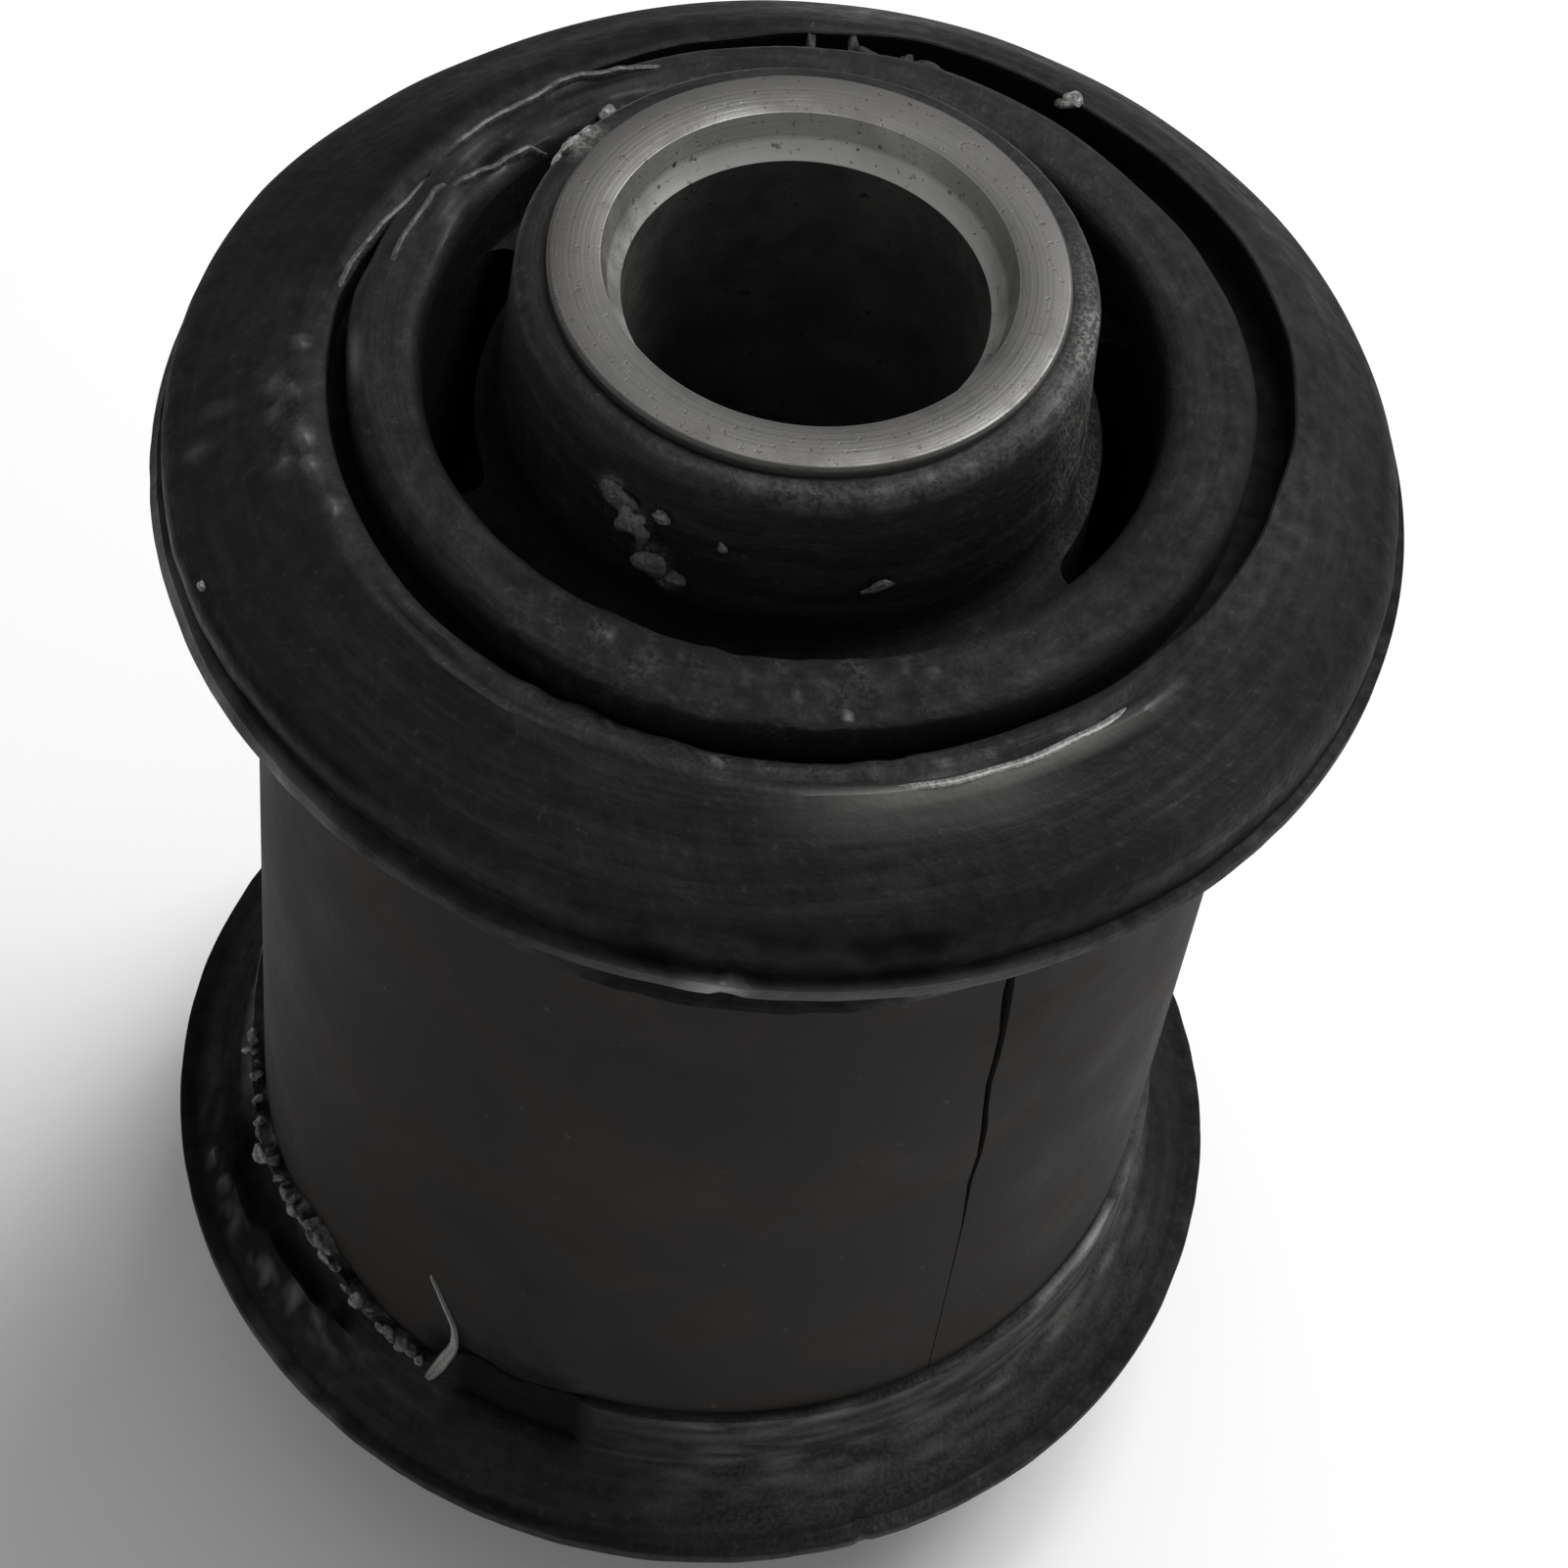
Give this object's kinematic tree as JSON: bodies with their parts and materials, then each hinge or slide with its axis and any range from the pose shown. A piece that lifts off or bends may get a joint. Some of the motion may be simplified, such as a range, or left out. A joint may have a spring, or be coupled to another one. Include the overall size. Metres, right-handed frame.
{
  "type": "rubber metal bush",
  "caption": "Rubber-metal bush: thick steel inner sleeve for a bolt, moulded rubber with flanged, grooved ends and kidney voids, and a rolled steel outer sleeve pressed into an eye.",
  "frame": {"origin": "centre of the lower end face of the inner sleeve", "axes": "+Z along the bolt axis; +X through one pair of kidney voids"},
  "size_m": [0.0502, 0.0502, 0.072],
  "materials": {
    "inner_steel": "turned bare steel, light oxide",
    "outer_steel": "dark phosphated steel, satin",
    "moulded_rubber": "satin black moulded rubber with flash"
  },
  "bodies": {
    "root": {"inner_sleeve": "inner_steel", "outer_sleeve": "outer_steel", "rubber_body": "moulded_rubber"}
  },
  "joints": []
}
